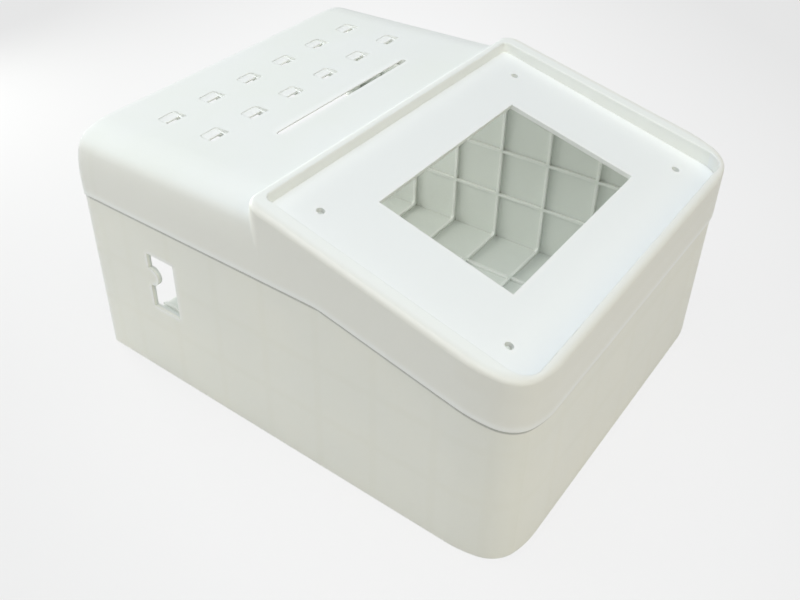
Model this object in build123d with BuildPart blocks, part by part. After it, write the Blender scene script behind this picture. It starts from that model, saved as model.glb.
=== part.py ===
"""Two-part injection moulded instrument housing.

A deep ribbed tub carries a cover with louvred vents, a paper slot and a sloped,
rimmed seat for a flat display. The back is open for a rear panel.

Frame: millimetres, +Z up, +Y towards the open back. The origin lies on the
underside, in the middle of the tub's plan, so the floor plane is Z = 0.
"""

from build123d import *
from math import acos, cos, degrees, radians, sin, sqrt, tan
import os

# ---------------------------------------------------------------- driving sizes
# Tub
tub_width = 316.0  # outside, side to side
tub_depth = 360.0  # outside, front face to open back
wall = 3.5  # side walls of both mouldings
floor = 3.5  # floor of the tub
corner_reach = 41.0  # where a front corner starts, measured from the sharp corner
corner_flank = 75.0  # radius of the shallow arcs at both ends of a corner
corner_middle = 24.0  # radius of the tight arc between them
foot_chamfer = 0.8  # along the bottom edge

# Seam between the mouldings: level at the back, falling to the front
rear_seam_height = 143.0
front_seam_height = 111.5
seam_slope = 12.75  # degrees
seam_bend_radius = 55.0
cover_overhang = 1.2  # how far the cover stands proud of the tub
shadow_gap_height = 0.8
shadow_gap_width = 1.0
tongue_inset = 1.9  # outer face of the tub's tongue, from the tub's outer face
tongue_height = 3.0
tongue_clearance = 0.25

# Stiffening grid moulded on the inside of the tub
rib_width = 2.6
rib_height = 2.6
rib_gusset = 3.0  # fill of the ribs' crests where a wall meets the floor
rib_pitch_depth = 44.6  # along the depth
rib_pitch_height = 44.4
rib_pitch_width = 51.6
rib_front_margin = 53.4  # first row's centre, behind the front face
rib_rows = 7
rib_first_z = 49.6  # lowest level's centre, above the underside
rib_levels = 2
rib_columns = 5
rib_seam_margin = 4.0  # the grid stops this far below the seam

# Power inlet cut-out in the left wall
inlet_width = 27.0
inlet_height = 48.0
inlet_back_margin = 74.0  # the cut-out's centre, in front of the open back
inlet_z = 90.5  # the cut-out's centre, above the underside
inlet_frame = 4.0  # rib-free band around the cut-out
lug_radius = 7.6  # half-round lug on the cut-out's rear edge
lug_overlap = 1.4  # how far the lug's centre stands into the cut-out
lug_rise = 3.5  # the lug's centre above the cut-out's centre

# Cover
cover_rise = 51.0  # the flat top above the seam's level part
shoulder_reach = 34.0  # round along both long top edges
shoulder_flank = 65.0
shoulder_middle = 18.8
cover_wall = 3.5

# Sloped display block at the front of the cover
block_depth = 196.2  # from the tub's front face to the block's rear face
block_rear_radius = 12.0
block_blend = 4.0  # hollow round where the block meets the body behind it
blend_end = 5.0  # the hollow round dies out this far above the shoulders' foot
rim_rise = 5.3  # the rim's rear edge above the flat top
rim_slope = 14.5  # degrees
rim_round = 3.6
rim_chamfer = 0.6  # along the well's upper edge
rear_rim = 6.8
front_rim = 6.0
side_rim = 13.4
recess_front_depth = 12.3  # the seat below the rim, at the tub's front face
recess_slope = 15.75  # degrees
recess_front_radius = 14.0
recess_rear_radius = 5.0
plate = 3.5  # thickness of the display seat
window_width = 169.0
window_height = 102.6
window_shift = 0.9  # the window's centre, up the slope from the seat's middle
screw_pattern_width = 241.6
screw_pattern_height = 140.6
display_hole = 5.5

# Paper slot and vents in the flat top
slot_length = 152.0
slot_width = 4.2
slot_margin = 43.4  # the slot's centre, behind the block's rear face
vent_columns = 6
vent_rows = 2
vent_pitch_x = 40.8
vent_pitch_y = 42.8
vent_back_margin = 63.0  # the vents' middle, in front of the open back
vent_width = 17.0
vent_length = 12.8
vent_depth = 3.4
vent_lip = 0.5  # depth of the pocket at the ramp's high end
vent_corner = 3.0  # round of each vent's rear corners
vent_slit_width = 13.5
vent_slit = 3.0
vent_pad = 2.2  # the hood under each vent, below the top wall
vent_pad_margin = 2.0

# Screws, from the underside, up through the tub's pillars into the cover
front_screw_inset = 19.0  # from the tub's front and side faces
rear_screw_side = 12.0  # from the tub's side faces
rear_screw_back = 14.0  # from the open back
pillar_drop = 7.0  # the pillars' tops below the seam
pillar_diameter = 14.0
pillar_bore = 9.2
pillar_web = 5.0  # what the screws clamp, above the wide bore
boss_diameter = 10.0
boss_depth = 22.0  # depth of the pilot hole
tie_rib = 2.4
tie_drop = 8.0  # the tub's tie ribs stop this far below a pillar's top
tie_rise = 6.0  # the cover's tie ribs start this far above the seam
screw_diameter = 4.0
screw_clearance = 0.5
pilot_clearance = 0.1
screw_head = 7.6
screw_head_height = 2.6
screw_grip = 14.0  # length of screw in the cover's boss
socket_size = 2.5
socket_depth = 1.6

# ---------------------------------------------------------------- derived sizes
half_width = tub_width / 2
front_y = -tub_depth / 2
back_y = tub_depth / 2
cover_half = half_width + cover_overhang
top_height = rear_seam_height + cover_rise
seam_bend_y = front_y + (rear_seam_height - front_seam_height) / tan(radians(seam_slope))
inlet_y = back_y - inlet_back_margin
block_back_y = front_y + block_depth
body_front_y = block_back_y - 1.5 * block_rear_radius  # the body's form ends in the block
rim_front_height = top_height + rim_rise - block_depth * tan(radians(rim_slope))
recess_front_height = rim_front_height - recess_front_depth
recess_back_y = block_back_y - rear_rim
recess_front_y = front_y - cover_overhang + front_rim
recess_middle_y = (recess_front_y + recess_back_y) / 2
recess_half = cover_half - side_rim
window_up_slope = (recess_middle_y - front_y) / cos(radians(recess_slope)) + window_shift
slot_y = block_back_y + slot_margin
vent_centre_y = back_y - vent_back_margin
channel_front_y = front_y + corner_reach
channel_back_y = block_back_y - block_rear_radius
beyond = 20.0  # how far cutting shapes run past the surface they cut
low = front_seam_height - beyond
high = 2 * top_height
sky = 2 * high  # top of the cutting shapes that clear everything above a line

display_plane = Plane(
    origin=(0, front_y, recess_front_height),
    x_dir=(1, 0, 0),
    z_dir=(0, -sin(radians(recess_slope)), cos(radians(recess_slope))),
)


rim_plane = Plane(
    origin=(0, front_y, rim_front_height),
    x_dir=(1, 0, 0),
    z_dir=(0, -sin(radians(rim_slope)), cos(radians(rim_slope))),
)


def seam_z(y):
    """Height of the seam at depth y, before its bend is rounded."""
    return min(rear_seam_height, front_seam_height + (y - front_y) * tan(radians(seam_slope)))


def screw_seat(side_inset, y, to_front):
    """A pair of screws: x, y, height of the tub's pillars, tied to the front wall or not."""
    return half_width - side_inset, y, seam_z(y) - pillar_drop, to_front


def recess_z(y):
    """Height of the display seat's top face at depth y."""
    return recess_front_height + (y - front_y) * tan(radians(recess_slope))


def plate_under_z(y):
    """Height of the display seat's underside at depth y."""
    return recess_z(y) - plate / cos(radians(recess_slope))


def rim_z(y):
    """Height of the rim's top face at depth y."""
    return rim_front_height + (y - front_y) * tan(radians(rim_slope))


def soft_corner(start, heading, reach, flank, middle):
    """A right-angled turn to the left in three tangent arcs: shallow, tight, shallow."""
    turn = degrees(acos((flank - reach) / (flank - middle) / sqrt(2))) - 45
    first = JernArc(start, heading, flank, turn)
    second = JernArc(first @ 1, first % 1, middle, 90 - 2 * turn)
    JernArc(second @ 1, second % 1, flank, turn)


def plan(inset, back):
    """The housing's plan, moved inwards by inset, as far as y = back."""
    half = half_width - inset
    front = front_y + inset
    reach = corner_reach - inset
    arcs = (reach, corner_flank - inset, corner_middle - inset)
    with BuildSketch() as outline:
        with BuildLine():
            Line((-half + reach, front), (half - reach, front))
            soft_corner((half - reach, front), (1, 0), *arcs)
            Polyline((half, front + reach), (half, back), (-half, back), (-half, front + reach))
            soft_corner((-half, front + reach), (0, -1), *arcs)
        make_face()
    return outline.sketch


def section(inset, bottom):
    """The flat-topped cover's section, moved inwards by inset, from z = bottom up."""
    half = cover_half - inset
    top = top_height - inset
    reach = shoulder_reach - inset
    arcs = (reach, shoulder_flank - inset, shoulder_middle - inset)
    with BuildSketch() as outline:
        with BuildLine():
            Polyline((-half, top - reach), (-half, bottom), (half, bottom), (half, top - reach))
            soft_corner((half, top - reach), (0, 1), *arcs)
            Line((half - reach, top), (-half + reach, top))
            soft_corner((-half + reach, top), (-1, 0), *arcs)
        make_face()
    return outline.sketch


def above_seam(lift):
    """Side view of all that lies above the seam raised by lift."""
    run = tub_depth
    back = (back_y + beyond, rear_seam_height + lift)
    bend = (seam_bend_y, rear_seam_height + lift)
    front = (bend[0] - run, bend[1] - run * tan(radians(seam_slope)))
    with BuildSketch() as side:
        with BuildLine():
            FilletPolyline(back, bend, front, radius=seam_bend_radius)
            Polyline(front, (front[0], sky), (back[0], sky), back)
        make_face()
    return side.sketch


def above_line(height_at, start, end):
    """Side view of all that lies above a sloping straight line, from y = start to y = end."""
    with BuildSketch() as side:
        with BuildLine():
            Polyline(
                (start, height_at(start)),
                (end, height_at(end)),
                (end, sky),
                (start, sky),
                close=True,
            )
        make_face()
    return side.sketch


def posts(x, y, diameter):
    """A mirrored pair of round posts."""
    with BuildSketch() as outline:
        with Locations((-x, y), (x, y)):
            Circle(diameter / 2)
    return outline.sketch


def ties(x, y, inset, to_front):
    """Thin ribs that tie a pair of posts to the side walls, and to the front wall if asked."""
    with BuildSketch() as outline:
        for side in (-1, 1):
            with Locations((side * (x + half_width) / 2, y)):
                Rectangle(half_width - x, tie_rib)
            if to_front:
                with Locations((side * x, (y + front_y) / 2)):
                    Rectangle(tie_rib, y - front_y)
        add(plan(inset, back_y), mode=Mode.INTERSECT)
    return outline.sketch


screw_seats = (
    screw_seat(front_screw_inset, front_y + front_screw_inset, True),
    screw_seat(rear_screw_side, back_y - rear_screw_back, False),
)

# ------------------------------------------------------------------- base tub
with BuildPart() as tub_tongue:
    with BuildSketch(Plane.XY):
        add(plan(tongue_inset, back_y))
    extrude(amount=rear_seam_height + 2 * tongue_height)
    with BuildSketch(Plane.YZ):
        add(above_seam(tongue_height))
    extrude(amount=tub_width, both=True, mode=Mode.SUBTRACT)

with BuildPart() as tub_land:
    with BuildSketch(Plane.XY):
        add(plan(shadow_gap_width, back_y))
    extrude(amount=rear_seam_height + tongue_height)
    with BuildSketch(Plane.YZ):
        add(above_seam(0))
    extrude(amount=tub_width, both=True, mode=Mode.SUBTRACT)

with BuildPart() as tub_space:
    with BuildSketch(Plane.XY.offset(floor)):
        add(plan(wall, back_y + beyond))
    extrude(amount=high)

# The space between the ribs' crests
with BuildPart() as rib_core:
    with BuildSketch(Plane.XY.offset(floor + rib_height)):
        add(plan(wall + rib_height, back_y + 2 * beyond))
    extrude(amount=high)
    chamfer(rib_core.faces().sort_by(Axis.Z)[0].edges(), rib_gusset)

# The grid is what a lattice of thin plates leaves between the two nested spaces.
with BuildPart() as rib_room:
    add(tub_space)
    add(rib_core, mode=Mode.SUBTRACT)
    with BuildSketch(Plane.YZ):
        add(above_seam(-rib_seam_margin))
    extrude(amount=tub_width, both=True, mode=Mode.SUBTRACT)

with BuildPart() as grid:
    for row in range(rib_rows):
        with Locations((0, front_y + rib_front_margin + row * rib_pitch_depth, 0)):
            Box(2 * tub_width, rib_width, 2 * high)
    for level in range(rib_levels):
        with Locations((0, 0, rib_first_z + level * rib_pitch_height)):
            Box(2 * tub_width, 2 * tub_depth, rib_width)
    for column in range(rib_columns):
        with Locations(((column - (rib_columns - 1) / 2) * rib_pitch_width, 0, 0)):
            Box(rib_width, 2 * tub_depth, 2 * high)
    add(rib_room, mode=Mode.INTERSECT)
    split(bisect_by=Plane.XZ.offset(-back_y), keep=Keep.TOP)
    with Locations((-half_width, inlet_y, inlet_z)):
        Box(
            tub_width / 2,
            inlet_width + 2 * inlet_frame,
            inlet_height + 2 * inlet_frame,
            mode=Mode.SUBTRACT,
        )

with BuildPart() as base_tub:
    with BuildSketch(Plane.XY):
        add(plan(0, back_y))
    extrude(amount=rear_seam_height)
    with BuildSketch(Plane.YZ):
        add(above_seam(-shadow_gap_height))
    extrude(amount=tub_width, both=True, mode=Mode.SUBTRACT)
    foot_edges = base_tub.faces().sort_by(Axis.Z)[0].edges()
    chamfer(foot_edges.sort_by(Axis.Y)[:-1], foot_chamfer)
    add(tub_land)
    add(tub_tongue)
    add(tub_space, mode=Mode.SUBTRACT)
    add(grid)
    # Power inlet cut-out, with a half-round lug left standing on its rear edge
    with BuildSketch(Plane.YZ.offset(-half_width - wall)):
        with Locations((inlet_y, inlet_z)):
            Rectangle(inlet_width, inlet_height)
        with Locations((inlet_y + inlet_width / 2 - lug_overlap, inlet_z + lug_rise)):
            Circle(lug_radius, mode=Mode.SUBTRACT)
    extrude(amount=3 * wall, mode=Mode.SUBTRACT)
    # Screw pillars, tied to the walls and bored from the underside
    for x, y, top, to_front in screw_seats:
        with BuildSketch(Plane.XY.offset(floor / 2)):
            add(ties(x, y, wall / 2, to_front))
        extrude(amount=top - tie_drop - floor / 2)
        with BuildSketch(Plane.XY):
            add(posts(x, y, pillar_diameter))
        extrude(amount=top)
        with BuildSketch(Plane.XY):
            add(posts(x, y, pillar_bore))
        extrude(amount=top - pillar_web, mode=Mode.SUBTRACT)
        with BuildSketch(Plane.XY):
            add(posts(x, y, screw_diameter + screw_clearance))
        extrude(amount=top, mode=Mode.SUBTRACT)

base_tub.part.label = "base_tub"

# ------------------------------------------------------------------ top cover
# The display block: the front of the cover as a solid, its top falling to the front
with BuildPart() as block:
    with BuildSketch(Plane.XY.offset(low)) as block_plan:
        add(plan(-cover_overhang, block_back_y))
        fillet(block_plan.vertices().sort_by(Axis.Y)[-2:], block_rear_radius)
    extrude(amount=high)
    with BuildSketch(Plane.YZ):
        add(above_line(rim_z, front_y - beyond, block_back_y + beyond))
    extrude(amount=tub_width, both=True, mode=Mode.SUBTRACT)
    fillet(block.faces().sort_by(Axis.Z)[-1].edges(), rim_round)

# The shallow well in the block, down to the display seat
with BuildPart() as recess:
    with BuildSketch(Plane.XY.offset(low)) as recess_plan:
        with Locations((0, recess_middle_y)):
            Rectangle(2 * recess_half, recess_back_y - recess_front_y)
        fillet(recess_plan.vertices().sort_by(Axis.Y)[:2], recess_front_radius)
        fillet(recess_plan.vertices().sort_by(Axis.Y)[-2:], recess_rear_radius)
    extrude(amount=high)
    with BuildSketch(Plane.YZ):
        add(above_line(recess_z, front_y - beyond, block_back_y + beyond))
    extrude(amount=tub_width, both=True, mode=Mode.INTERSECT)

# The block joined to the round-shouldered body behind it
with BuildPart() as joined:
    add(block)
    with BuildSketch(Plane.XZ.offset(-back_y)):
        add(section(0, low))
    extrude(amount=back_y - body_front_y)

# Its upper part, with the hollow round between the two, which thins to nothing below
with BuildPart() as blended:
    add(joined)
    foot = blended.edges().filter_by_position(Axis.Y, channel_back_y, block_back_y)
    foot = foot.filter_by_position(Axis.Z, top_height - shoulder_reach, top_height)
    fillet(foot.filter_by(Axis.Z, reverse=True), block_blend)
    blend_foot = top_height - shoulder_reach + blend_end
    split(bisect_by=Plane.XY.offset(blend_foot), keep=Keep.TOP)

# The cover's outside as a solid, with the well
with BuildPart() as cover_form:
    add(joined)
    add(blended)
    add(recess, mode=Mode.SUBTRACT)
    rim_top = cover_form.faces().filter_by(rim_plane).sort_by(SortBy.AREA)[-1]
    chamfer(rim_top.inner_wires()[0].edges(), rim_chamfer)

# The hollow under the cover, with a channel up inside each thick side rim
with BuildPart() as cover_space:
    with BuildSketch(Plane.XZ.offset(-back_y - beyond)):
        add(section(cover_wall, low - beyond))
    extrude(amount=back_y + beyond - body_front_y)
    with BuildSketch(Plane.XY.offset(low - beyond)) as space_plan:
        add(plan(cover_wall - cover_overhang, recess_back_y + cover_wall))
        rear_corners = space_plan.vertices().sort_by(Axis.Y)[-2:]
        fillet(rear_corners, block_rear_radius - cover_wall)
    extrude(amount=high)
    with BuildSketch(Plane.YZ):
        add(above_line(plate_under_z, front_y - beyond, recess_back_y + cover_wall))
    extrude(amount=tub_width, both=True, mode=Mode.SUBTRACT)
    with BuildSketch(Plane.YZ.offset(recess_half + cover_wall)) as channel:
        with BuildLine():
            Polyline(
                (channel_front_y, plate_under_z(channel_front_y) - cover_wall),
                (channel_back_y, plate_under_z(channel_back_y) - cover_wall),
                (channel_back_y, rim_z(channel_back_y) - cover_wall),
                (channel_front_y, rim_z(channel_front_y) - cover_wall),
                close=True,
            )
        make_face()
    channels = extrude(amount=side_rim - 2 * cover_wall)
    mirror(channels, about=Plane.YZ)

# Room for the tub's tongue, inside the cover's lower edge
with BuildPart() as tongue_room:
    with BuildSketch(Plane.XY.offset(low - beyond)):
        add(plan(tongue_inset - tongue_clearance, back_y + beyond))
    extrude(amount=high)
    with BuildSketch(Plane.YZ):
        add(above_seam(tongue_height + tongue_clearance))
    extrude(amount=tub_width, both=True, mode=Mode.SUBTRACT)

# Screw bosses, standing on the tub's pillars and reaching up to the cover's roof
with BuildPart() as bosses:
    for x, y, top, to_front in screw_seats:
        with BuildSketch(Plane.XY.offset(top)):
            add(posts(x, y, boss_diameter))
        extrude(amount=high)
        with BuildSketch(Plane.XY.offset(seam_z(y) + tie_rise)):
            add(ties(x, y, cover_wall / 2 - cover_overhang, to_front))
        extrude(amount=high)
    add(cover_form, mode=Mode.INTERSECT)

# One vent: a ramp sinking towards the front, with a slit through its low end
with BuildPart() as vent:
    with BuildSketch(Plane.XY.offset(top_height)) as vent_plan:
        Rectangle(vent_width, vent_length)
        fillet(vent_plan.vertices().sort_by(Axis.Y)[-2:], vent_corner)
    extrude(amount=-vent_depth)
    with BuildSketch(Plane.YZ):
        with BuildLine():
            Polyline(
                (vent_length / 2, top_height),
                (vent_length / 2, top_height - vent_lip),
                (-vent_length / 2, top_height - vent_depth),
                (-vent_length / 2, top_height),
                close=True,
            )
        make_face()
    extrude(amount=vent_width, both=True, mode=Mode.INTERSECT)
    with BuildSketch(Plane.XY.offset(top_height)):
        with Locations((0, (vent_slit - vent_length) / 2)):
            Rectangle(vent_slit_width, vent_slit)
    extrude(amount=-cover_wall - 2 * vent_pad)

with BuildPart() as top_cover:
    add(cover_form)
    with BuildSketch(Plane.YZ):
        add(above_seam(0))
    extrude(amount=tub_width, both=True, mode=Mode.INTERSECT)
    add(cover_space, mode=Mode.SUBTRACT)
    add(tongue_room, mode=Mode.SUBTRACT)
    add(bosses)
    # Display window and the four holes of the display's screws, square to the seat
    with BuildSketch(display_plane):
        with Locations((0, window_up_slope)):
            Rectangle(window_width, window_height)
            with GridLocations(screw_pattern_width, screw_pattern_height, 2, 2):
                Circle(display_hole / 2)
    extrude(amount=2 * plate, both=True, mode=Mode.SUBTRACT)
    # Paper slot
    with BuildSketch(Plane.XY.offset(top_height)):
        with Locations((0, slot_y)):
            SlotOverall(slot_length, slot_width)
    extrude(amount=-2 * cover_wall, mode=Mode.SUBTRACT)
    # Vents, each with a hood that thickens the roof under its ramp
    with Locations((0, vent_centre_y, 0)):
        with GridLocations(vent_pitch_x, vent_pitch_y, vent_columns, vent_rows):
            with Locations((0, 0, top_height - cover_wall - vent_pad / 2)):
                Box(
                    vent_width + 2 * vent_pad_margin,
                    vent_length + 2 * vent_pad_margin,
                    vent_pad,
                )
            add(vent, mode=Mode.SUBTRACT)
    # Pilot holes
    for x, y, top, to_front in screw_seats:
        with BuildSketch(Plane.XY.offset(top)):
            add(posts(x, y, screw_diameter + pilot_clearance))
        extrude(amount=boss_depth, mode=Mode.SUBTRACT)

top_cover.part.label = "top_cover"

# --------------------------------------------------------------------- screws
with BuildPart() as cover_screws:
    for x, y, top, to_front in screw_seats:
        seat_z = top - pillar_web
        with BuildSketch(Plane.XY.offset(seat_z)):
            add(posts(x, y, screw_diameter))
        extrude(amount=pillar_web + screw_grip)
        with BuildSketch(Plane.XY.offset(seat_z)):
            add(posts(x, y, screw_head))
        extrude(amount=-screw_head_height)
        with BuildSketch(Plane.XY.offset(seat_z - screw_head_height)):
            with Locations((-x, y), (x, y)):
                RegularPolygon(socket_size / 2, 6, major_radius=False)
        extrude(amount=socket_depth, mode=Mode.SUBTRACT)

cover_screws.part.label = "cover_screws"

# --------------------------------------------------------------------- export
os.makedirs("parts", exist_ok=True)
for piece in (base_tub, top_cover, cover_screws):
    export_step(piece.part, f"parts/{piece.part.label}.step")
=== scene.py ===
"""Studio scene of a two-part injection moulded instrument housing.

A deep ribbed tub carries a round-shouldered cover with vents, a paper slot and a
sloped, rimmed seat for a display. The mouldings come from the frame. This add-on
opens the cover's slits and slot, gives both mouldings soft edges and their finish,
and builds the stage.
"""

from math import radians

import bmesh
import bpy
import numpy as np
from mathutils import Matrix, Vector


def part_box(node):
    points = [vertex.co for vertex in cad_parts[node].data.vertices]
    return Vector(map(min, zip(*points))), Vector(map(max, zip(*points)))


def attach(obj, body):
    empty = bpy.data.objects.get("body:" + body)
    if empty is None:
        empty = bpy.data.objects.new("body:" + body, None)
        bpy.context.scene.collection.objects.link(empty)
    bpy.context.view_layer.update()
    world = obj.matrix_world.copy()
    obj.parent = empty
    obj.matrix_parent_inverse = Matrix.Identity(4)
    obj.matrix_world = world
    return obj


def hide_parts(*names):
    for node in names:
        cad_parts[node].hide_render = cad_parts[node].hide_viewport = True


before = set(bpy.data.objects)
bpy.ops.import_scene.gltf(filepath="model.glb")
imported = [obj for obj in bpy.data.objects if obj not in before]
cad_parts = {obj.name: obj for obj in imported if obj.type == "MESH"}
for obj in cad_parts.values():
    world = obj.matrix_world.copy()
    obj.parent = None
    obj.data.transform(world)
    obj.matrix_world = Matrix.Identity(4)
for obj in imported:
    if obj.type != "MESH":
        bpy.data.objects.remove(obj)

bl_info = {
    "name": "Moulded Housing",
    "version": (1, 0, 0),
    "blender": (4, 5, 0),
    "location": "3D View > Sidebar > Housing",
    "description": "Finishes a moulded instrument housing and sets up its studio",
    "category": "Object",
}

MM = 0.001
START_OBJECTS = ("Cube", "Light", "Camera")  # what a new file holds

# Meshes
CREASE_ANGLE = radians(25)  # edges that turn more than this are creases
MERGE_DISTANCE = 0.005 * MM  # corners of a node's loose triangles nearer than this are one
OVERCUT = 1.0 * MM  # how far a cutter goes past the face that it opens

# Plastic
SHORT_RAYS = 6  # rays at each point for soft edges, thin places and grooves
GRAIN_DETAIL = 3.0
GRAIN_ROUGHNESS = 0.6
GRAIN_RANGE = (0.3, 0.7)  # heights of the grain between which the roughness changes
GRAIN_GLOSS = 0.05  # how far the grain moves the roughness, up and down
# Painted highlight: where the surface group finds the plastic thin, the colour is painted paler.
THIN_RANGE = (0.48, 0.72)  # from solid to thin, as the surface group puts it out
# Painted shade: where the surface group finds a groove closed in, the colour is painted darker.
GROOVE_RANGE = (0.5, 0.8)  # from open to closed in
CLOUD_SCALE = 14.0  # clouds in a metre
CLOUD_DETAIL = 2.0
CLOUD_RANGE = (0.35, 0.65)
PLASTIC_IOR = 1.53

# Where one colour gives way to the next
OPEN_BACK = 0.1  # how far a plan runs past the open back, so that nothing changes there
WALL_MIDDLE = (0.4, 0.6)  # shares of the wall's thickness, from outside to inside
SIDE_START = 0.3  # share of the side depth at which the walls' colour starts to fade
BLOCK_FADE = 6.0 * MM  # behind the display block's rear face
SEAT_FADE = (0.3 * MM, 0.5 * MM)  # in from the seat's outline
BAND_FADE = (0.8, 1.2)  # shares of the seam band's depth

# Zinc
PATCH_SCALE = 900.0
PATCH_DETAIL = 3.0
PATCH_RANGE = (0.4, 0.65)  # from bright to dull
SCATTER_RANGE = (0.3, 0.7)
ZINC_ROUGHNESS = (0.28, 0.42)
ZINC_METALLIC = 0.95

# Stage
FLOOR_RINGS = 24
FLOOR_STEPS = 64
FLOOR_START = 1.0 * MM  # radius of the innermost ring, which lies under the housing
FLOOR_HEIGHT = -0.2 * MM
FLOOR_ROUGHNESS = 0.9
GLOW_RANGE = (0.2, 1.25)  # shares of the glow's reach between which it fades
LAMP_AIM = Vector((0.0, 0.0, 0.1))
LAMPS = (  # name, place and side, in metres
    ("top_lamp", (-0.3, -0.1, 2.0), 2.4),
    ("front_lamp", (-0.5, -1.7, 1.2), 1.4),
    ("left_lamp", (-0.8, 1.4, 0.6), 1.0),
    ("back_lamp", (-0.05, 0.8, 0.25), 0.3),
)
IMAGE_WIDTH = 800
IMAGE_HEIGHT = 600
NEAREST_SEEN = 0.01


# ---------------------------------------------------------------- settings
class MouldingSettings(bpy.types.PropertyGroup):
    """Finish and colours of the two mouldings, with their painted shade and painted highlights, and
    the sizes that place the colours.
    """

    roughness: bpy.props.FloatProperty(
        name="Roughness",
        description="Roughness of the satin surface",
        default=0.46,
        min=0.0,
        max=1.0,
        subtype="FACTOR",
    )
    edge_round: bpy.props.FloatProperty(
        name="Edge round",
        description="Width of the small rounds that the mould leaves on every edge",
        default=0.8 * MM,
        unit="LENGTH",
    )
    grain_size: bpy.props.FloatProperty(
        name="Grain size",
        description="Size of the spark-eroded grain",
        default=0.35 * MM,
        unit="LENGTH",
    )
    grain_depth: bpy.props.FloatProperty(
        name="Grain depth",
        description="Depth of the spark-eroded grain",
        default=0.012 * MM,
        unit="LENGTH",
    )
    # Painted highlight: ribs and edges are painted paler, standing in for light that passes through
    # the thin plastic and catches its edges.
    thin_highlight_colour: bpy.props.FloatVectorProperty(
        name="Thin colour",
        description="Paler colour of ribs and edges, where light goes through the plastic",
        default=(0.97, 0.975, 0.95),
        subtype="COLOR",
        min=0.0,
        max=1.0,
    )
    thin_reach: bpy.props.FloatProperty(
        name="Thin reach",
        description="Plastic thinner than this is paler",
        default=4.5 * MM,
        unit="LENGTH",
    )
    # Painted shade: grooves and the band under the cover's edge are painted darker, where shade
    # falls.
    painted_shade_colour: bpy.props.FloatVectorProperty(
        name="Groove colour",
        description="Colour deep in grooves and in the band under the seam",
        default=(0.38, 0.37, 0.32),
        subtype="COLOR",
        min=0.0,
        max=1.0,
    )
    groove_reach: bpy.props.FloatProperty(
        name="Groove reach",
        description="Width of a groove that darkens",
        default=2.5 * MM,
        unit="LENGTH",
    )
    tub_colour: bpy.props.FloatVectorProperty(
        name="Tub colour",
        description="Colour of the tub's outside",
        default=(0.885, 0.875, 0.79),
        subtype="COLOR",
        min=0.0,
        max=1.0,
    )
    tub_shade: bpy.props.FloatVectorProperty(
        name="Tub shade",
        description="Second colour in the tub's faint clouds",
        default=(0.865, 0.86, 0.785),
        subtype="COLOR",
        min=0.0,
        max=1.0,
    )
    # Painted shade: the tub's inside is painted darker and greener than its outside, standing in
    # for the shade within it.
    inside_shade_colour: bpy.props.FloatVectorProperty(
        name="Inside colour",
        description="Colour of the tub's inside",
        default=(0.72, 0.75, 0.71),
        subtype="COLOR",
        min=0.0,
        max=1.0,
    )
    wall: bpy.props.FloatProperty(
        name="Wall", description="Thickness of the tub's walls", default=3.5 * MM, unit="LENGTH"
    )
    corner: bpy.props.FloatProperty(
        name="Corner",
        description="Radius of the upright corners",
        default=33.0 * MM,
        unit="LENGTH",
    )
    rear_seam: bpy.props.FloatProperty(
        name="Rear seam",
        description="Height of the seam's level part",
        default=143.0 * MM,
        unit="LENGTH",
    )
    front_seam: bpy.props.FloatProperty(
        name="Front seam",
        description="Height of the seam at the front",
        default=111.5 * MM,
        unit="LENGTH",
    )
    seam_slope: bpy.props.FloatProperty(
        name="Seam slope",
        description="Climb of the seam from the front",
        default=radians(12.75),
        unit="ROTATION",
    )
    # Painted shadow: a dark band is painted on the tub under the overhanging edge of the cover.
    seam_shadow_band: bpy.props.FloatProperty(
        name="Seam band",
        description="Depth of the dark line under the cover's edge",
        default=2.8 * MM,
        unit="LENGTH",
    )
    top_colour: bpy.props.FloatVectorProperty(
        name="Top colour",
        description="Colour of the cover's flat top",
        default=(0.895, 0.91, 0.885),
        subtype="COLOR",
        min=0.0,
        max=1.0,
    )
    top_shade: bpy.props.FloatVectorProperty(
        name="Top shade",
        description="Second colour in the top's faint clouds",
        default=(0.88, 0.90, 0.855),
        subtype="COLOR",
        min=0.0,
        max=1.0,
    )
    # Painted shade: the cover's upright walls are painted darker and warmer than its top, a shaded
    # copy of the top's colour.
    side_shade_colour: bpy.props.FloatVectorProperty(
        name="Side colour",
        description="Colour of the cover's upright walls",
        default=(0.865, 0.855, 0.79),
        subtype="COLOR",
        min=0.0,
        max=1.0,
    )
    side_depth: bpy.props.FloatProperty(
        name="Side depth",
        description="How far in from the cover's walls their colour ends",
        default=7.0 * MM,
        unit="LENGTH",
    )
    # Painted highlight: the display block and its rim are painted paler than the top, standing in
    # for light through the standing rim.
    rim_highlight_colour: bpy.props.FloatVectorProperty(
        name="Rim colour",
        description="Colour of the rim round the display's seat",
        default=(0.95, 0.965, 0.925),
        subtype="COLOR",
        min=0.0,
        max=1.0,
    )
    seat_colour: bpy.props.FloatVectorProperty(
        name="Seat colour",
        description="Colour of the display's seat",
        default=(0.93, 0.945, 0.93),
        subtype="COLOR",
        min=0.0,
        max=1.0,
    )
    block_back: bpy.props.FloatProperty(
        name="Block back",
        description="Place of the display block's rear face",
        default=16.2 * MM,
        unit="LENGTH",
    )
    side_rim: bpy.props.FloatProperty(
        name="Side rim",
        description="Width of the rim at the sides",
        default=13.4 * MM,
        unit="LENGTH",
    )
    front_rim: bpy.props.FloatProperty(
        name="Front rim",
        description="Width of the rim at the front",
        default=6.0 * MM,
        unit="LENGTH",
    )
    rear_rim: bpy.props.FloatProperty(
        name="Rear rim",
        description="Width of the rim at the rear",
        default=6.8 * MM,
        unit="LENGTH",
    )
    seat_corner: bpy.props.FloatProperty(
        name="Seat corner",
        description="Radius of the seat's corners",
        default=9.0 * MM,
        unit="LENGTH",
    )


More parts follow.
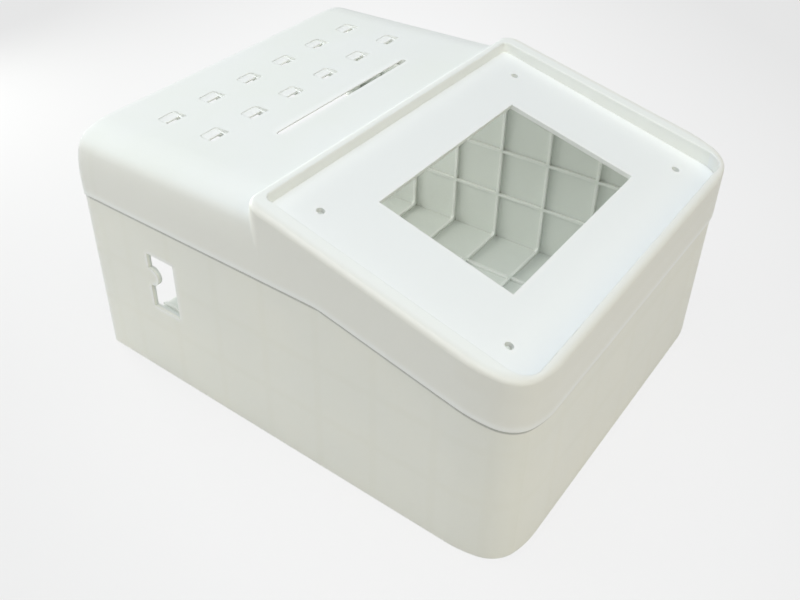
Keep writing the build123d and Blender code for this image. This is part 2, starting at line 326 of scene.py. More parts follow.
class VentSettings(bpy.types.PropertyGroup):
    """Openings cut in the cover's roof: the slits under the vents' ramps, and the slot's flare."""

    roof_height: bpy.props.FloatProperty(
        name="Roof height",
        description="Top of the flat roof above the underside",
        default=194.0 * MM,
        unit="LENGTH",
    )
    columns: bpy.props.IntProperty(name="Columns", description="Vents in a row", default=6, min=1)
    rows: bpy.props.IntProperty(name="Rows", description="Rows of vents", default=2, min=1)
    pitch_across: bpy.props.FloatProperty(
        name="Pitch across",
        description="From vent to vent in a row",
        default=40.8 * MM,
        unit="LENGTH",
    )
    pitch_along: bpy.props.FloatProperty(
        name="Pitch along", description="From row to row", default=42.8 * MM, unit="LENGTH"
    )
    back_margin: bpy.props.FloatProperty(
        name="Back margin",
        description="From the vents' middle to the open back",
        default=63.0 * MM,
        unit="LENGTH",
    )
    length: bpy.props.FloatProperty(
        name="Vent length",
        description="Length of a vent's pocket",
        default=12.8 * MM,
        unit="LENGTH",
    )
    ramp_high: bpy.props.FloatProperty(
        name="Ramp's high end",
        description="Depth of the pocket at its back",
        default=0.5 * MM,
        unit="LENGTH",
    )
    ramp_low: bpy.props.FloatProperty(
        name="Ramp's low end",
        description="Depth the ramp would have at its front",
        default=3.4 * MM,
        unit="LENGTH",
    )
    slit_width: bpy.props.FloatProperty(
        name="Slit width",
        description="Width of the slit, side to side",
        default=13.5 * MM,
        unit="LENGTH",
    )
    slit_reach: bpy.props.FloatProperty(
        name="Slit reach",
        description="How far the slit reaches back under the ramp",
        default=6.5 * MM,
        unit="LENGTH",
    )
    ramp_wall: bpy.props.FloatProperty(
        name="Ramp wall", description="Thickness of the ramp", default=1.3 * MM, unit="LENGTH"
    )
    hood_depth: bpy.props.FloatProperty(
        name="Hood depth",
        description="Depth of the hood's underside below the roof",
        default=8.0 * MM,
        unit="LENGTH",
    )
    slot_place: bpy.props.FloatProperty(
        name="Slot place",
        description="The paper slot's centre along the depth",
        default=59.6 * MM,
        unit="LENGTH",
    )
    slot_length: bpy.props.FloatProperty(
        name="Slot length",
        description="Straight length of the paper slot",
        default=147.8 * MM,
        unit="LENGTH",
    )
    slot_width: bpy.props.FloatProperty(
        name="Slot width", description="Width of the paper slot", default=4.2 * MM, unit="LENGTH"
    )
    slot_land: bpy.props.FloatProperty(
        name="Slot land",
        description="Straight depth of the slot's back wall",
        default=0.8 * MM,
        unit="LENGTH",
    )
    slot_flare: bpy.props.FloatProperty(
        name="Slot flare",
        description="How far the slot's back wall leans out below",
        default=3.8 * MM,
        unit="LENGTH",
    )
    roof_wall: bpy.props.FloatProperty(
        name="Roof wall", description="Thickness of the roof", default=3.5 * MM, unit="LENGTH"
    )


class ScrewSettings(bpy.types.PropertyGroup):
    """Finish of the zinc plated screws."""

    colour: bpy.props.FloatVectorProperty(
        name="Colour",
        description="Colour of the zinc plating",
        default=(0.62, 0.63, 0.64),
        subtype="COLOR",
        min=0.0,
        max=1.0,
    )
    dull: bpy.props.FloatVectorProperty(
        name="Dull colour",
        description="Colour of the plating's duller patches",
        default=(0.50, 0.51, 0.50),
        subtype="COLOR",
        min=0.0,
        max=1.0,
    )


class StageSettings(bpy.types.PropertyGroup):
    """Floor, lights and camera."""

    floor_radius: bpy.props.FloatProperty(
        name="Floor radius", description="Radius of the round floor", default=6.0, unit="LENGTH"
    )
    floor_colour: bpy.props.FloatVectorProperty(
        name="Floor colour",
        description="Colour of the floor",
        default=(0.80, 0.80, 0.80),
        subtype="COLOR",
        min=0.0,
        max=1.0,
    )
    shadow_colour: bpy.props.FloatVectorProperty(
        name="Shadow colour",
        description="Share of the light on the floor that shows over its glow, for its shadows",
        default=(0.08, 0.08, 0.08),
        subtype="COLOR",
        min=0.0,
        max=1.0,
    )
    # Painted pool of light: the floor glows, palest in the middle of an oval patch and fading
    # outwards.
    painted_glow_middle: bpy.props.FloatVectorProperty(
        name="Glow, middle",
        description="The floor's own paleness in the middle of the patch",
        default=(0.84, 0.84, 0.84),
        subtype="COLOR",
        min=0.0,
        max=1.0,
    )
    painted_glow_edge: bpy.props.FloatVectorProperty(
        name="Glow, edge",
        description="The floor's own paleness far out",
        default=(0.70, 0.70, 0.70),
        subtype="COLOR",
        min=0.0,
        max=1.0,
    )
    glow_place: bpy.props.FloatVectorProperty(
        name="Glow place",
        description="Middle of the pale patch",
        default=(0.23, 0.164),
        size=2,
        unit="LENGTH",
    )
    glow_reach: bpy.props.FloatVectorProperty(
        name="Glow reach",
        description="Half-axes of the pale patch",
        default=(0.42, 1.0),
        size=2,
        unit="LENGTH",
    )
    glow_turn: bpy.props.FloatProperty(
        name="Glow turn",
        description="Turn of the pale patch about the vertical",
        default=radians(-49.02),
        unit="ROTATION",
    )
    backdrop_colour: bpy.props.FloatVectorProperty(
        name="Backdrop colour",
        description="Colour seen above the floor",
        default=(0.84, 0.84, 0.84),
        subtype="COLOR",
        min=0.0,
        max=1.0,
    )
    sky_light: bpy.props.FloatProperty(
        name="Sky light",
        description="Strength of the even light from all round",
        default=0.06,
        min=0.0,
    )
    sky_colour: bpy.props.FloatVectorProperty(
        name="Sky colour",
        description="Tint of the even light",
        default=(1.0, 0.95, 0.84),
        subtype="COLOR",
        min=0.0,
        max=1.0,
    )
    top_lamp_power: bpy.props.FloatProperty(
        name="Top lamp", description="Power of the large lamp overhead", default=36.0, unit="POWER"
    )
    top_lamp_colour: bpy.props.FloatVectorProperty(
        name="Top lamp colour",
        description="Tint of the lamp overhead",
        default=(0.87, 0.93, 1.0),
        subtype="COLOR",
        min=0.0,
        max=1.0,
    )
    front_lamp_power: bpy.props.FloatProperty(
        name="Front lamp",
        description="Power of the fill lamp in front",
        default=11.5,
        unit="POWER",
    )
    front_lamp_colour: bpy.props.FloatVectorProperty(
        name="Front lamp colour",
        description="Tint of the lamp in front",
        default=(1.0, 0.94, 0.75),
        subtype="COLOR",
        min=0.0,
        max=1.0,
    )
    left_lamp_power: bpy.props.FloatProperty(
        name="Left lamp",
        description="Power of the lamp behind on the left",
        default=7.5,
        unit="POWER",
    )
    left_lamp_colour: bpy.props.FloatVectorProperty(
        name="Left lamp colour",
        description="Tint of the lamp on the left",
        default=(0.98, 1.0, 0.95),
        subtype="COLOR",
        min=0.0,
        max=1.0,
    )
    back_lamp_power: bpy.props.FloatProperty(
        name="Back lamp",
        description="Power of the lamp that shines into the open back",
        default=3.3,
        unit="POWER",
    )
    back_lamp_colour: bpy.props.FloatVectorProperty(
        name="Back lamp colour",
        description="Tint of the lamp behind",
        default=(0.98, 1.0, 0.95),
        subtype="COLOR",
        min=0.0,
        max=1.0,
    )
    camera_place: bpy.props.FloatVectorProperty(
        name="Camera place",
        description="Where the camera stands",
        default=(-0.47835, -0.31798, 0.48746),
        subtype="TRANSLATION",
        unit="LENGTH",
    )
    camera_heading: bpy.props.FloatProperty(
        name="Heading",
        description="Turn of the camera about the vertical",
        default=radians(-49.02),
        unit="ROTATION",
    )
    camera_pitch: bpy.props.FloatProperty(
        name="Pitch",
        description="Tilt of the camera above the horizon",
        default=radians(-34.40),
        unit="ROTATION",
    )
    camera_roll: bpy.props.FloatProperty(
        name="Roll",
        description="Roll of the camera about its own axis",
        default=radians(-2.49),
        unit="ROTATION",
    )
    focal_pixels: bpy.props.FloatProperty(
        name="Focal length",
        description="Focal length, in pixels of an image 800 wide",
        default=902.66,
    )
    axis_pixel: bpy.props.FloatVectorProperty(
        name="Axis pixel",
        description="Where the camera's axis meets the image, from its top left corner",
        default=(313.16, 233.38),
        size=2,
    )

# ---------------------------------------------------------------- nodes of a material
def feed(tree, socket, value):
    """Links an input to an output, or gives it a plain value."""
    if isinstance(value, bpy.types.NodeSocket):
        tree.links.new(value, socket)
    else:
        socket.default_value = value


def number_math(tree, operation, *values, clamp=False):
    """A number worked out from outputs and plain numbers."""
    node = tree.nodes.new("ShaderNodeMath")
    node.operation = operation
    node.use_clamp = clamp
    for socket, value in zip(node.inputs, values):
        feed(tree, socket, value)
    return node.outputs["Value"]


def vector_math(tree, operation, *values):
    """A vector, or a vector's length, worked out from outputs and plain vectors."""
    node = tree.nodes.new("ShaderNodeVectorMath")
    node.operation = operation
    for socket, value in zip(node.inputs, values):
        feed(tree, socket, value)
    return node.outputs["Value" if operation == "LENGTH" else "Vector"]


def scale_range(tree, value, low, high, to_low=0.0, to_high=1.0):
    """Maps a value from one range to another, and holds it at the ends."""
    node = tree.nodes.new("ShaderNodeMapRange")
    tree.links.new(value, node.inputs["Value"])
    ends = {"From Min": low, "From Max": high, "To Min": to_low, "To Max": to_high}
    for name, number in ends.items():
        node.inputs[name].default_value = number
    return node.outputs["Result"]


def blend_colours(tree, mask, first, second):
    """A mix of two colours by a mask; each colour is an output or plain."""
    node = tree.nodes.new("ShaderNodeMix")
    node.data_type = "RGBA"
    tree.links.new(mask, node.inputs["Factor"])
    for name, colour in (("A", first), ("B", second)):
        if not isinstance(colour, bpy.types.NodeSocket):
            colour = (*colour, 1.0)
        feed(tree, node.inputs[name], colour)
    return node.outputs["Result"]


def noise(tree, vector, scale, detail, roughness=0.5):
    """A noise texture on a vector."""
    node = tree.nodes.new("ShaderNodeTexNoise")
    tree.links.new(vector, node.inputs["Vector"])
    feed(tree, node.inputs["Scale"], scale)
    node.inputs["Detail"].default_value = detail
    node.inputs["Roughness"].default_value = roughness
    return node.outputs["Fac"]


def split_place(tree, place):
    """The outputs X, Y and Z of a place."""
    node = tree.nodes.new("ShaderNodeSeparateXYZ")
    tree.links.new(place, node.inputs["Vector"])
    return node.outputs


def seen_directly(tree):
    """1 for what the camera, a reflection or a clear piece sees, 0 for the light that it gives."""
    path = tree.nodes.new("ShaderNodeLightPath")
    total = path.outputs["Is Camera Ray"]
    for name in ("Is Glossy Ray", "Is Transmission Ray"):
        total = number_math(tree, "ADD", total, path.outputs[name], clamp=True)
    return total


def new_material(name):
    """An empty node material with its Principled shader and Object coordinates."""
    material = bpy.data.materials.new(name)
    material.use_nodes = True
    tree = material.node_tree
    shader = tree.nodes["Principled BSDF"]
    place = tree.nodes.new("ShaderNodeTexCoord")
    return material, tree, shader, place.outputs["Object"]


def put_group(tree, name, values):
    """Places a shared node group, with its own values by socket name."""
    node = tree.nodes.new("ShaderNodeGroup")
    node.node_tree = bpy.data.node_groups[name]
    for socket, value in values.items():
        feed(tree, node.inputs[socket], value)
    return node


def moulded_surface_group():
    """A moulding's surface: grain over small rounds on its edges, its thin places and grooves.

    Thin is the share of short rays into the solid that meet its far side, so ribs and edges have
    more of it. Groove is the share of short rays outwards that meet plastic again.
    """
    group = bpy.data.node_groups.new("moulded_surface", "ShaderNodeTree")
    sockets = (
        ("Vector", "INPUT", "NodeSocketVector"),
        ("Grain Scale", "INPUT", "NodeSocketFloat"),
        ("Grain Depth", "INPUT", "NodeSocketFloat"),
        ("Edge Round", "INPUT", "NodeSocketFloat"),
        ("Thin Reach", "INPUT", "NodeSocketFloat"),
        ("Groove Reach", "INPUT", "NodeSocketFloat"),
        ("Normal", "OUTPUT", "NodeSocketVector"),
        ("Height", "OUTPUT", "NodeSocketFloat"),
        ("Thin", "OUTPUT", "NodeSocketFloat"),
        ("Groove", "OUTPUT", "NodeSocketFloat"),
    )
    for name, side, kind in sockets:
        group.interface.new_socket(name, in_out=side, socket_type=kind)
    nodes = group.nodes
    links = group.links
    entry = nodes.new("NodeGroupInput")
    leave = nodes.new("NodeGroupOutput")
    place = entry.outputs["Vector"]
    grain = noise(group, place, entry.outputs["Grain Scale"], GRAIN_DETAIL, GRAIN_ROUGHNESS)
    rounds = nodes.new("ShaderNodeBevel")
    rounds.samples = SHORT_RAYS
    links.new(entry.outputs["Edge Round"], rounds.inputs["Radius"])
    bump = nodes.new("ShaderNodeBump")
    links.new(entry.outputs["Grain Depth"], bump.inputs["Distance"])
    links.new(grain, bump.inputs["Height"])
    links.new(rounds.outputs["Normal"], bump.inputs["Normal"])
    links.new(bump.outputs["Normal"], leave.inputs["Normal"])
    links.new(grain, leave.inputs["Height"])
    for name, inside in (("Thin", True), ("Groove", False)):
        rays = nodes.new("ShaderNodeAmbientOcclusion")
        rays.inside = inside
        rays.only_local = inside
        rays.samples = SHORT_RAYS
        links.new(entry.outputs[name + " Reach"], rays.inputs["Distance"])
        stopped = number_math(group, "SUBTRACT", 1.0, rays.outputs["AO"], clamp=True)
        links.new(stopped, leave.inputs[name])
    return group


# ---------------------------------------------------------------- materials
def moulded_plastic(name, settings, body_of):
    """Satin plastic: grain, a painted highlight that makes thin places paler, painted shade that
    darkens grooves. body_of gives its colour.
    """
    material, tree, shader, place = new_material(name)
    values = {
        "Vector": place,
        "Grain Scale": 1.0 / settings.grain_size,
        "Grain Depth": settings.grain_depth,
        "Edge Round": settings.edge_round,
        "Thin Reach": settings.thin_reach,
        "Groove Reach": settings.groove_reach,
    }
    surface = put_group(tree, "moulded_surface", values)
    thin = scale_range(tree, surface.outputs["Thin"], *THIN_RANGE)
    groove = scale_range(tree, surface.outputs["Groove"], *GROOVE_RANGE)
    # Painted highlight: thin ribs and edges are painted paler.
    body = blend_colours(tree, thin, body_of(tree, place, settings), settings.thin_highlight_colour)
    # Painted shade: grooves, where short rays outwards meet plastic again, are painted darker.
    body = blend_colours(tree, groove, body, settings.painted_shade_colour)
    smooth, rough = settings.roughness - GRAIN_GLOSS, settings.roughness + GRAIN_GLOSS
    dull = scale_range(tree, surface.outputs["Height"], *GRAIN_RANGE, smooth, rough)
    tree.links.new(body, shader.inputs["Base Color"])
    tree.links.new(dull, shader.inputs["Roughness"])
    tree.links.new(surface.outputs["Normal"], shader.inputs["Normal"])
    shader.inputs["IOR"].default_value = PLASTIC_IOR
    return material


def clouded(tree, place, colour, shade):
    """A colour with faint clouds of a second one."""
    mask = scale_range(tree, noise(tree, place, CLOUD_SCALE, CLOUD_DETAIL), *CLOUD_RANGE)
    return blend_colours(tree, mask, colour, shade)


def plan_depth(tree, place, left, front, back, radius, low, high):
    """1 inside a rounded plan and 0 outside it, rising from depth low to depth high within it.

    The plan is as wide to the right as to the left. What of |p - middle| stands past its straight
    sides has a length; the corner's radius less that length is the depth.
    """
    half = (-left - radius, (back - front) / 2 - radius, 1.0)
    point = vector_math(tree, "SUBTRACT", place, (0.0, (back + front) / 2, 0.0))
    past = vector_math(tree, "SUBTRACT", vector_math(tree, "ABSOLUTE", point), half)
    past = vector_math(tree, "MAXIMUM", past, (0.0, 0.0, 0.0))
    away = vector_math(tree, "LENGTH", past)
    return scale_range(tree, away, radius - high, radius - low, 1.0, 0.0)


def under_seam_shadow(tree, place, settings):
    """1 in the narrow band below the seam, where a painted shadow of the cover's edge lies.

    The seam's height is the lower of its level part and of the line that climbs from the front.
    """
    rise = np.tan(settings.seam_slope)
    start = settings.front_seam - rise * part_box("base_tub")[0][1]
    parts = split_place(tree, place)
    climb = number_math(tree, "MULTIPLY_ADD", parts["Y"], rise, start)
    seam = number_math(tree, "MINIMUM", climb, settings.rear_seam)
    below = number_math(tree, "SUBTRACT", seam, parts["Z"])
    low, high = (settings.seam_shadow_band * share for share in BAND_FADE)
    return scale_range(tree, below, low, high, 1.0, 0.0)


def tub_body(tree, place, settings):
    """The tub's colour outside, with a painted shadow under the seam, and a darker, greener painted
    shade inside; the change lies half way into its wall and floor.
    """
    left, front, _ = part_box("base_tub")[0]
    low, high = (settings.wall * share for share in WALL_MIDDLE)
    back = -front + OPEN_BACK
    within = plan_depth(tree, place, left, front, back, settings.corner, low, high)
    above = scale_range(tree, split_place(tree, place)["Z"], low, high)
    inside = number_math(tree, "MULTIPLY", within, above)
    outer = clouded(tree, place, settings.tub_colour, settings.tub_shade)
    # Painted shadow under the cover's edge.
    outer = blend_colours(tree, under_seam_shadow(tree, place, settings), outer, settings.painted_shade_colour)
    # Painted shade: the tub's inside is painted darker.
    return blend_colours(tree, inside, outer, settings.inside_shade_colour)


def cover_body(tree, place, settings):
    """The cover's colours: the flat top, painted shade on the walls round it, a painted highlight
    on the display block and its rim, and the display's seat.
    """
    left, front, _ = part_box("top_cover")[0]
    start = settings.block_back
    block = scale_range(tree, split_place(tree, place)["Y"], start, start + BLOCK_FADE, 1.0, 0.0)
    seat = plan_depth(
        tree,
        place,
        left + settings.side_rim,
        front + settings.front_rim,
        settings.block_back - settings.rear_rim,
        settings.seat_corner,
        *SEAT_FADE,
    )
    inside = plan_depth(
        tree,
        place,
        left,
        front,
        -front + OPEN_BACK,
        settings.corner,
        settings.side_depth * SIDE_START,
        settings.side_depth,
    )
    body = clouded(tree, place, settings.top_colour, settings.top_shade)
    # Painted highlight on the display block and its rim.
    body = blend_colours(tree, block, body, settings.rim_highlight_colour)
    body = blend_colours(tree, seat, body, settings.seat_colour)
    # Painted shade on the cover's walls.
    return blend_colours(tree, inside, settings.side_shade_colour, body)


def zinc_plate(name, settings):
    """Zinc plating with dull patches and fine scatter in its roughness."""
    material, tree, shader, place = new_material(name)
    patches = noise(tree, place, PATCH_SCALE, PATCH_DETAIL)
    mask = scale_range(tree, patches, *PATCH_RANGE)
    colour = blend_colours(tree, mask, settings.colour, settings.dull)
    scatter = scale_range(tree, patches, *SCATTER_RANGE, *ZINC_ROUGHNESS)
    tree.links.new(colour, shader.inputs["Base Color"])
    tree.links.new(scatter, shader.inputs["Roughness"])
    shader.inputs["Metallic"].default_value = ZINC_METALLIC
    return material


def floor_paint(settings):
    """Pale floor: where it is seen, a soft oval glow, a painted pool of light; where it gives
    light, a plain colour.

    The distance from the glow's middle is measured in its half-axes, and the glow fades along it.
    """
    material, tree, shader, place = new_material("floor")
    seen = seen_directly(tree)
    across = tree.nodes.new("ShaderNodeMapping")
    across.vector_type = "TEXTURE"
    across.inputs["Location"].default_value = (*settings.glow_place, 0.0)
    across.inputs["Rotation"].default_value = (0.0, 0.0, settings.glow_turn)
    across.inputs["Scale"].default_value = (*settings.glow_reach, 1.0)
    tree.links.new(place, across.inputs["Vector"])
    away = vector_math(tree, "LENGTH", across.outputs["Vector"])
    fade = scale_range(tree, away, *GLOW_RANGE)
    # Painted pool of light on the floor.
    glow = blend_colours(tree, fade, settings.painted_glow_middle, settings.painted_glow_edge)
    colour = blend_colours(tree, seen, settings.floor_colour, settings.shadow_colour)
    tree.links.new(colour, shader.inputs["Base Color"])
    tree.links.new(glow, shader.inputs["Emission Color"])
    tree.links.new(seen, shader.inputs["Emission Strength"])
    shader.inputs["Roughness"].default_value = FLOOR_ROUGHNESS
    return material


# ---------------------------------------------------------------- meshes
def ring_mesh(name, x, y, z):
    """A mesh of quads over a grid of points, joined round the grid's second parameter."""
    rows, columns = x.shape
    points = np.stack([x, y, z], axis=-1).reshape(-1, 3)
    index = np.arange(rows * columns).reshape(rows, columns)
    following = np.roll(index, -1, axis=1)
    quads = np.stack([index[:-1], index[1:], following[1:], following[:-1]], axis=-1)
    mesh = bpy.data.meshes.new(name)
    mesh.from_pydata(points.tolist(), [], quads.reshape(-1, 4).tolist())
    mesh.polygons.foreach_set("use_smooth", np.ones(len(mesh.polygons), dtype=bool))
    mesh.update()
    return mesh


def prisms(name, outlines, starts, ends):
    """Closed prisms along X: each outline in the YZ plane, carried from its start to its end."""
    outlines = np.asarray(outlines, dtype=float)
    count, steps, _ = outlines.shape
    along = np.stack([np.asarray(starts), np.asarray(ends)], axis=1)
    points = np.empty((count, 2, steps, 3))
    points[..., 0] = along[:, :, None]
    points[..., 1:] = outlines[:, None]
    index = np.arange(count * 2 * steps).reshape(count, 2, steps)
    following = np.roll(index, -1, axis=2)
    sides = np.stack([index[:, 0], following[:, 0], following[:, 1], index[:, 1]], axis=-1)
    faces = sides.reshape(-1, 4).tolist() + index[:, 0, ::-1].tolist() + index[:, 1].tolist()
    mesh = bpy.data.meshes.new(name)
    mesh.from_pydata(points.reshape(-1, 3).tolist(), [], faces)
    mesh.update()
    return bpy.data.objects.new(name, mesh)


def merged_copy(node, name):
    """A copy of a node with its loose corners merged and one slot for a material."""
    form = bmesh.new()
    form.from_mesh(node.data)
    bmesh.ops.remove_doubles(form, verts=form.verts, dist=MERGE_DISTANCE)
    mesh = bpy.data.meshes.new(name)
    form.to_mesh(mesh)
    form.free()
    mesh.materials.append(None)
    piece = bpy.data.objects.new(name, mesh)
    bpy.context.scene.collection.objects.link(piece)
    return piece


def apply_modifiers(piece):
    """Puts the mesh that a piece's modifiers give in place of its own."""
    bpy.context.view_layer.update()
    finished = piece.evaluated_get(bpy.context.evaluated_depsgraph_get())
    mesh = bpy.data.meshes.new_from_object(finished)
    mesh.name = piece.name
    piece.modifiers.clear()
    piece.data = mesh


def cut_away(piece, cutter):
    """Cuts a piece by another solid, which is then gone."""
    bpy.context.scene.collection.objects.link(cutter)
    cut = piece.modifiers.new("cut", "BOOLEAN")
    cut.operation = "DIFFERENCE"
    cut.solver = "EXACT"
    cut.object = cutter
    before = len(piece.data.polygons)
    apply_modifiers(piece)
    bpy.data.objects.remove(cutter)
    if len(piece.data.polygons) == before:
        raise RuntimeError(f"{piece.name} wasn't cut")


def smooth_faces(piece):
    """Smooth faces and sharp creases; the normals lean to the larger faces, so flats stay flat."""
    mesh = piece.data
    if "custom_normal" in mesh.attributes:
        mesh.attributes.remove(mesh.attributes["custom_normal"])
    mesh.polygons.foreach_set("use_smooth", np.ones(len(mesh.polygons), dtype=bool))
    mesh.set_sharp_from_angle(angle=CREASE_ANGLE)
    weighted = piece.modifiers.new("weighted_normals", "WEIGHTED_NORMAL")
    weighted.mode = "FACE_AREA"
    weighted.keep_sharp = True


def wear(piece, material):
    """Puts a material in every slot of a piece."""
    for slot in piece.material_slots:
        slot.material = material


# ---------------------------------------------------------------- operators
class HOUSING_OT_base_tub(bpy.types.Operator):
    """Finish the ribbed tub"""

    bl_idname = "housing.base_tub"
    bl_label = "Base tub"

    def execute(self, context):
        settings = context.scene.housing_moulding
        wear(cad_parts["base_tub"], moulded_plastic("tub_white_abs", settings, tub_body))
        return {"FINISHED"}


class HOUSING_OT_top_cover(bpy.types.Operator):
    """Finish the vented cover"""

    bl_idname = "housing.top_cover"
    bl_label = "Top cover"

    def execute(self, context):
        settings = context.scene.housing_moulding
        vents = context.scene.housing_vents
        cover = merged_copy(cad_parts["top_cover"], "vented_cover")
        cut_away(cover, self.slit_cutter(vents))
        cut_away(cover, self.flare_cutter(vents))
        smooth_faces(cover)
        wear(cover, moulded_plastic("cover_white_abs", settings, cover_body))
        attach(cover, "root")
        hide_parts("top_cover")
        return {"FINISHED"}

    def slit_cutter(self, sizes):
        """Prisms that open the slit under each vent's ramp and thin the ramp from below.

        Seen from the side, a prism is open right through from the pocket's front as far as the
        slit reaches. Behind that its top follows the ramp, which climbs evenly to the back, and
        stays lower by the ramp's wall. Its underside is level.
        """
        roof = sizes.roof_height
        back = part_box("base_tub")[1][1]
        fall = (sizes.ramp_low - sizes.ramp_high) / sizes.length
        edge_depth = sizes.ramp_low - fall * sizes.slit_reach + sizes.ramp_wall
        below = np.array(
            [
                (0.0, sizes.ramp_high),
                (0.0, -sizes.hood_depth),
                (sizes.length, -sizes.hood_depth),
                (sizes.length, -sizes.ramp_high - sizes.ramp_wall),
                (sizes.slit_reach, -edge_depth),
                (sizes.slit_reach, sizes.ramp_high),
            ]
        )
        column, row = np.meshgrid(np.arange(sizes.columns), np.arange(sizes.rows))
        across = (column.ravel() - (sizes.columns - 1) / 2) * sizes.pitch_across
        along = back - sizes.back_margin + (row.ravel() - (sizes.rows - 1) / 2) * sizes.pitch_along
        shift = np.stack([along - sizes.length / 2, np.full_like(along, roof)], axis=-1)
        outlines = below[None] + shift[:, None]
        half = sizes.slit_width / 2
        return prisms("slits", outlines, across - half, across + half)

    def flare_cutter(self, sizes):
        """A prism that leans the slot's back wall outwards below its short straight land.

        Its back runs on past the roof's underside at the same lean, so the cut goes right through.
        """
        middle = sizes.slot_place
        edge = sizes.slot_place + sizes.slot_width / 2
        land = sizes.roof_height - sizes.slot_land
        under = sizes.roof_height - sizes.roof_wall
        lean = sizes.slot_flare / (sizes.roof_wall - sizes.slot_land)
        outline = [
            (middle, land),
            (middle, under - OVERCUT),
            (edge + sizes.slot_flare + lean * OVERCUT, under - OVERCUT),
            (edge, land),
        ]
        half = sizes.slot_length / 2
        return prisms("flare", [outline], [-half], [half])


class HOUSING_OT_cover_screws(bpy.types.Operator):
    """Finish the four cover screws"""

    bl_idname = "housing.cover_screws"
    bl_label = "Cover screws"

    def execute(self, context):
        settings = context.scene.housing_screws
        wear(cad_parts["cover_screws"], zinc_plate("zinc_plate", settings))
        return {"FINISHED"}


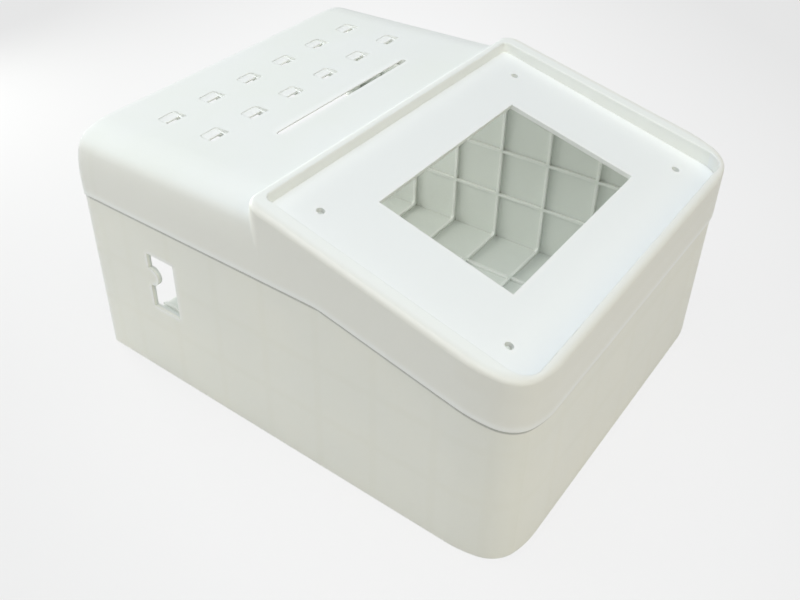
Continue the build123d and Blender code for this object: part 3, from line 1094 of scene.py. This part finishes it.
class HOUSING_OT_stage(bpy.types.Operator):
    """Build the floor, the lights and the camera"""

    bl_idname = "housing.stage"
    bl_label = "Stage"

    def execute(self, context):
        scene = context.scene
        settings = scene.housing_stage
        self.lay_floor(scene, settings)
        self.light_sky(scene, settings)
        self.hang_lamps(scene, settings)
        self.place_camera(scene, settings)
        scene.view_settings.view_transform = "Standard"
        return {"FINISHED"}

    def lay_floor(self, scene, settings):
        """A flat disc: rings about the vertical, each a fixed share larger than the last."""
        radius, turn = np.meshgrid(
            np.geomspace(FLOOR_START, settings.floor_radius, FLOOR_RINGS),
            np.linspace(0.0, 2.0 * np.pi, FLOOR_STEPS, endpoint=False),
            indexing="ij",
        )
        height = np.full_like(radius, FLOOR_HEIGHT)
        mesh = ring_mesh("floor", radius * np.cos(turn), radius * np.sin(turn), height)
        mesh.materials.append(floor_paint(settings))
        floor = bpy.data.objects.new("floor", mesh)
        scene.collection.objects.link(floor)

    def light_sky(self, scene, settings):
        """A faint even light from all round, behind a pale backdrop where it is seen."""
        world = bpy.data.worlds.new("sky")
        scene.world = world
        world.use_nodes = True
        tree = world.node_tree
        sky = tree.nodes["Background"]
        sky.inputs["Color"].default_value = (*settings.sky_colour, 1.0)
        sky.inputs["Strength"].default_value = settings.sky_light
        backdrop = tree.nodes.new("ShaderNodeBackground")
        backdrop.inputs["Color"].default_value = (*settings.backdrop_colour, 1.0)
        either = tree.nodes.new("ShaderNodeMixShader")
        tree.links.new(seen_directly(tree), either.inputs["Fac"])
        tree.links.new(sky.outputs["Background"], either.inputs[1])
        tree.links.new(backdrop.outputs["Background"], either.inputs[2])
        tree.links.new(either.outputs["Shader"], tree.nodes["World Output"].inputs["Surface"])

    def hang_lamps(self, scene, settings):
        """Square soft lamps, all turned to the same point of the housing."""
        for name, place, size in LAMPS:
            lamp = bpy.data.lights.new(name, "AREA")
            lamp.shape = "SQUARE"
            lamp.size = size
            lamp.energy = getattr(settings, name + "_power")
            lamp.color = getattr(settings, name + "_colour")
            piece = bpy.data.objects.new(name, lamp)
            piece.location = place
            piece.visible_camera = False
            aim = LAMP_AIM - piece.location
            piece.rotation_euler = aim.to_track_quat("-Z", "Y").to_euler()
            scene.collection.objects.link(piece)

    def place_camera(self, scene, settings):
        """Heading, pitch and roll turn the camera; the axis pixel gives its shift."""
        data = bpy.data.cameras.new("camera")
        camera = bpy.data.objects.new("camera", data)
        scene.collection.objects.link(camera)
        turn = Matrix.Rotation(settings.camera_heading, 4, "Z")
        tilt = Matrix.Rotation(radians(90) + settings.camera_pitch, 4, "X")
        roll = Matrix.Rotation(settings.camera_roll, 4, "Z")
        camera.matrix_world = Matrix.Translation(settings.camera_place) @ turn @ tilt @ roll
        data.lens = settings.focal_pixels / IMAGE_WIDTH * data.sensor_width
        data.shift_x = (IMAGE_WIDTH / 2 - settings.axis_pixel[0]) / IMAGE_WIDTH
        data.shift_y = (settings.axis_pixel[1] - IMAGE_HEIGHT / 2) / IMAGE_WIDTH
        data.clip_start = NEAREST_SEEN
        scene.camera = camera


class HOUSING_PT_panel(bpy.types.Panel):
    """Lists the steps and their settings"""

    bl_label = "Moulded housing"
    bl_idname = "HOUSING_PT_panel"
    bl_space_type = "VIEW_3D"
    bl_region_type = "UI"
    bl_category = "Housing"

    def draw(self, context):
        for operator in OPERATORS:
            self.layout.operator(operator.bl_idname)
        for name in SETTINGS:
            settings = getattr(context.scene, name)
            box = self.layout.box()
            for key in settings.bl_rna.properties.keys():
                if key not in ("rna_type", "name"):
                    box.prop(settings, key)


# ---------------------------------------------------------------- running it
SETTINGS = {
    "housing_moulding": MouldingSettings,
    "housing_vents": VentSettings,
    "housing_screws": ScrewSettings,
    "housing_stage": StageSettings,
}
OPERATORS = (
    HOUSING_OT_base_tub,
    HOUSING_OT_top_cover,
    HOUSING_OT_cover_screws,
    HOUSING_OT_stage,
)
CLASSES = (*SETTINGS.values(), *OPERATORS, HOUSING_PT_panel)


def register():
    """Registers the classes and hangs the settings on the scene."""
    for item in CLASSES:
        bpy.utils.register_class(item)
    for name, group in SETTINGS.items():
        setattr(bpy.types.Scene, name, bpy.props.PointerProperty(type=group))


def unregister():
    """Takes the settings and the classes away again."""
    for name in SETTINGS:
        delattr(bpy.types.Scene, name)
    for item in reversed(CLASSES):
        bpy.utils.unregister_class(item)


def clear_start_objects():
    """Removes what a new file holds, so that only the frame's nodes are left."""
    for name in START_OBJECTS:
        if name in bpy.data.objects:
            bpy.data.objects.remove(bpy.data.objects[name])


def main():
    """Builds everything in order."""
    clear_start_objects()
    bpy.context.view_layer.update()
    register()
    moulded_surface_group()
    bpy.ops.housing.base_tub()
    bpy.ops.housing.top_cover()
    bpy.ops.housing.cover_screws()
    bpy.ops.housing.stage()


if __name__ == "__main__":
    main()
